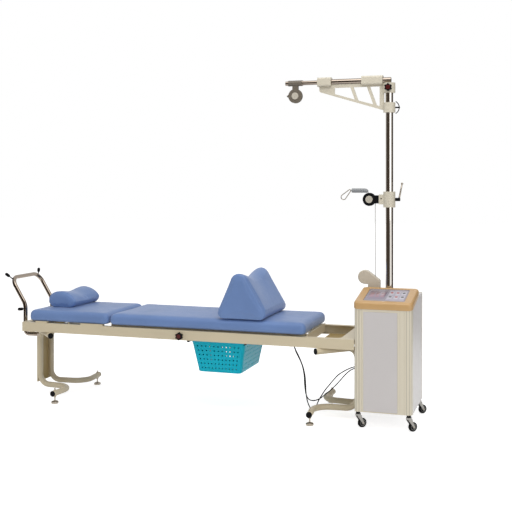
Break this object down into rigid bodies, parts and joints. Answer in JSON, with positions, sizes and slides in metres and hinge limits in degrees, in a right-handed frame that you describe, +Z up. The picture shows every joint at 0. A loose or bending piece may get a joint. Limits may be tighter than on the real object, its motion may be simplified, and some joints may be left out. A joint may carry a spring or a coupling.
{
  "type": "traction table",
  "caption": "Two-section padded traction table on C-shaped legs, with a docked control cabinet on casters, a mast, rope pulleys and an overhead arm.",
  "frame": {"origin": "on the floor, under the middle of the whole object's bounding box", "axes": "+X along the table from its head end to the cabinet, +Y away from the side with the control panel, +Z up"},
  "size_m": [2.9977, 0.6876, 2.271],
  "materials": {
    "frame_paint": "satin beige powder coat",
    "vinyl": "cornflower-blue upholstery vinyl, soft sheen",
    "chrome": "bright chrome plate",
    "steel": "zinc-plated steel",
    "black_plastic": "black moulded plastic",
    "basket_plastic": "turquoise moulded plastic",
    "cabinet_paint": "cream powder coat",
    "panel_paint": "light grey powder coat",
    "console_plastic": "tan moulded plastic",
    "keypad": "lavender-grey membrane keypad",
    "fork_grey": "grey painted steel",
    "wheel_rubber": "dark grey rubber tread",
    "knob_red": "black knob with a red disc",
    "rope_white": "braided off-white cord",
    "grey_plastic": "mid-grey plastic sleeve",
    "cable_black": "dark cable jacket",
    "ivory": "ivory moulded plastic"
  },
  "bodies": {
    "frame": {"near_rail": "frame_paint", "far_rail": "frame_paint", "head_end_beam": "frame_paint", "foot_end_plate": "frame_paint", "cross_members": "frame_paint", "head_leg": "frame_paint", "foot_leg": "frame_paint", "tube_end_caps": "black_plastic", "strap_bar": "chrome", "strap_pegs": "black_plastic", "head_cushion": "vinyl", "head_supports": "frame_paint", "basket_runners": "black_plastic", "cabinet_body": "cabinet_paint", "front_panel": "panel_paint", "cabinet_base": "cabinet_paint", "console_bezel": "console_plastic", "control_panel": "keypad", "caster_collars": "black_plastic", "mast": "chrome", "rope": "rope_white", "rope_guide": "ivory", "signal_cable_1": "cable_black", "signal_cable_2": "cable_black", "cable_gland": "black_plastic"},
    "carriage": {"main_cushion": "vinyl", "carriage_frame": "frame_paint"},
    "roller_axle_1": {"carriage_axle_1": "steel"},
    "roller_axle_2": {"carriage_axle_2": "steel"},
    "pillow": {"neck_pillow": "vinyl"},
    "bolster": {"knee_bolster": "vinyl"},
    "basket_tray": {"basket": "basket_plastic"},
    "knob": {"rail_knob": "knob_red"},
    "clamp": {"mid_clamp": "frame_paint", "pulley_fork": "black_plastic", "rope_end": "grey_plastic"},
    "lever": {"clamp_lever": "steel"},
    "pulley_low": {"lower_pulley": "frame_paint"},
    "hook_loop": {"hook": "steel"},
    "gate": {"hook_gate": "steel"},
    "arm": {"truss_arm": "frame_paint", "arm_tube": "chrome"},
    "rod": {"arm_rod": "chrome"},
    "pulley_hanger": {"upper_pulley_housing": "black_plastic"},
    "pulley_up": {"upper_pulley": "frame_paint"},
    "knob_up": {"arm_knob": "knob_red"},
    "handle_up": {"bow_handle": "black_plastic"},
    "rope_wheel": {"guide_wheel": "grey_plastic"},
    "foot_1": {"levelling_foot_1": "steel"},
    "foot_2": {"levelling_foot_2": "steel"},
    "foot_3": {"levelling_foot_3": "steel"},
    "foot_4": {"levelling_foot_4": "steel"},
    "swivel_1": {"caster_fork_1": "fork_grey"},
    "wheel_1": {"caster_wheel_1": "wheel_rubber"},
    "swivel_2": {"caster_fork_2": "fork_grey"},
    "wheel_2": {"caster_wheel_2": "wheel_rubber"},
    "swivel_3": {"caster_fork_3": "fork_grey"},
    "wheel_3": {"caster_wheel_3": "wheel_rubber"},
    "swivel_4": {"caster_fork_4": "fork_grey"},
    "wheel_4": {"caster_wheel_4": "wheel_rubber"}
  },
  "joints": [
    {"name": "carriage_slide", "type": "slide", "parent": "frame", "child": "carriage", "axis": [1, 0, 0], "range_m": [0, 0.18]},
    {"name": "roller_axle_1_spin", "type": "hinge", "parent": "carriage", "child": "roller_axle_1", "pos_m": [-0.52098, 0, 0.5243], "axis": [0, 1, 0], "range_deg": [-400, 400]},
    {"name": "roller_axle_2_spin", "type": "hinge", "parent": "carriage", "child": "roller_axle_2", "pos_m": [0.69334, 0, 0.5243], "axis": [0, 1, 0], "range_deg": [-400, 400]},
    {"name": "pillow_lift", "type": "slide", "parent": "frame", "child": "pillow", "axis": [0, 0, 1], "range_m": [0, 0.2]},
    {"name": "bolster_lift", "type": "slide", "parent": "carriage", "child": "bolster", "axis": [0, 0, 1], "range_m": [0, 0.25]},
    {"name": "basket_slide", "type": "slide", "parent": "frame", "child": "basket_tray", "axis": [0, -1, 0], "range_m": [0, 0.3]},
    {"name": "rail_knob_turn", "type": "hinge", "parent": "frame", "child": "knob", "pos_m": [-0.08582, -0.293, 0.5203], "axis": [0, -1, 0], "continuous": true},
    {"name": "foot_1_height", "type": "slide", "parent": "frame", "child": "foot_1", "axis": [0, 0, -1], "range_m": [0, 0.012]},
    {"name": "foot_2_height", "type": "slide", "parent": "frame", "child": "foot_2", "axis": [0, 0, -1], "range_m": [0, 0.012]},
    {"name": "foot_3_height", "type": "slide", "parent": "frame", "child": "foot_3", "axis": [0, 0, -1], "range_m": [0, 0.012]},
    {"name": "foot_4_height", "type": "slide", "parent": "frame", "child": "foot_4", "axis": [0, 0, -1], "range_m": [0, 0.012]},
    {"name": "swivel_1_turn", "type": "hinge", "parent": "frame", "child": "swivel_1", "pos_m": [1.13118, -0.275, 0.06], "axis": [0, 0, 1], "continuous": true},
    {"name": "wheel_1_spin", "type": "hinge", "parent": "swivel_1", "child": "wheel_1", "pos_m": [1.1524, -0.25379, 0.03], "axis": [0.7071, -0.7071, 0], "continuous": true},
    {"name": "swivel_2_turn", "type": "hinge", "parent": "frame", "child": "swivel_2", "pos_m": [1.45118, -0.275, 0.06], "axis": [0, 0, 1], "continuous": true},
    {"name": "wheel_2_spin", "type": "hinge", "parent": "swivel_2", "child": "wheel_2", "pos_m": [1.4724, -0.25379, 0.03], "axis": [0.7071, -0.7071, 0], "continuous": true},
    {"name": "swivel_3_turn", "type": "hinge", "parent": "frame", "child": "swivel_3", "pos_m": [1.13118, 0.191, 0.06], "axis": [0, 0, 1], "continuous": true},
    {"name": "wheel_3_spin", "type": "hinge", "parent": "swivel_3", "child": "wheel_3", "pos_m": [1.1524, 0.21221, 0.03], "axis": [0.7071, -0.7071, 0], "continuous": true},
    {"name": "swivel_4_turn", "type": "hinge", "parent": "frame", "child": "swivel_4", "pos_m": [1.45118, 0.191, 0.06], "axis": [0, 0, 1], "continuous": true},
    {"name": "wheel_4_spin", "type": "hinge", "parent": "swivel_4", "child": "wheel_4", "pos_m": [1.4724, 0.21221, 0.03], "axis": [0.7071, -0.7071, 0], "continuous": true},
    {"name": "clamp_slide", "type": "slide", "parent": "frame", "child": "clamp", "axis": [0, 0, 1], "range_m": [-0.35, 0.4], "deforming": ["rope"]},
    {"name": "lever_turn", "type": "hinge", "parent": "clamp", "child": "lever", "pos_m": [1.31718, 0.075, 1.443], "axis": [1, 0, 0], "range_deg": [-100, 20]},
    {"name": "lower_pulley_spin", "type": "hinge", "parent": "clamp", "child": "pulley_low", "pos_m": [1.13718, 0.075, 1.443], "axis": [0, 1, 0], "continuous": true},
    {"name": "hook_swing", "type": "hinge", "parent": "clamp", "child": "hook_loop", "pos_m": [1.00373, 0.075, 1.502], "axis": [0, 1, 0], "range_deg": [-40, 12]},
    {"name": "gate_open", "type": "hinge", "parent": "hook_loop", "child": "gate", "pos_m": [0.96541, 0.075, 1.48215], "axis": [0, 1, 0], "range_deg": [0, 7], "stiffness_Nm_per_rad": 0.2, "springref_deg": -17.19},
    {"name": "arm_turn", "type": "hinge", "parent": "frame", "child": "arm", "pos_m": [1.27118, 0.075, 2.187], "axis": [0, 0, 1], "range_deg": [-100, 100]},
    {"name": "rod_slide", "type": "slide", "parent": "arm", "child": "rod", "axis": [1, 0, 0], "range_m": [-0.18, 0.106]},
    {"name": "hanger_swing", "type": "hinge", "parent": "rod", "child": "pulley_hanger", "pos_m": [0.62318, 0.075, 2.24], "axis": [1, 0, 0], "range_deg": [-45, 45]},
    {"name": "upper_pulley_spin", "type": "hinge", "parent": "pulley_hanger", "child": "pulley_up", "pos_m": [0.62318, 0.075, 2.152], "axis": [0, 1, 0], "continuous": true},
    {"name": "arm_knob_turn", "type": "hinge", "parent": "arm", "child": "knob_up", "pos_m": [1.27118, 0.035, 2.187], "axis": [0, -1, 0], "continuous": true},
    {"name": "bow_handle_turn", "type": "hinge", "parent": "arm", "child": "handle_up", "pos_m": [1.32718, 0.075, 2.055], "axis": [1, 0, 0], "continuous": true},
    {"name": "rope_wheel_spin", "type": "hinge", "parent": "frame", "child": "rope_wheel", "pos_m": [1.15518, 0.075, 0.903], "axis": [0, 1, 0], "continuous": true}
  ],
  "couplings": [
    {"joint": "roller_axle_1_spin", "follows": "carriage_slide", "rad_per_m": 37.037},
    {"joint": "roller_axle_2_spin", "follows": "carriage_slide", "rad_per_m": 37.037}
  ]
}
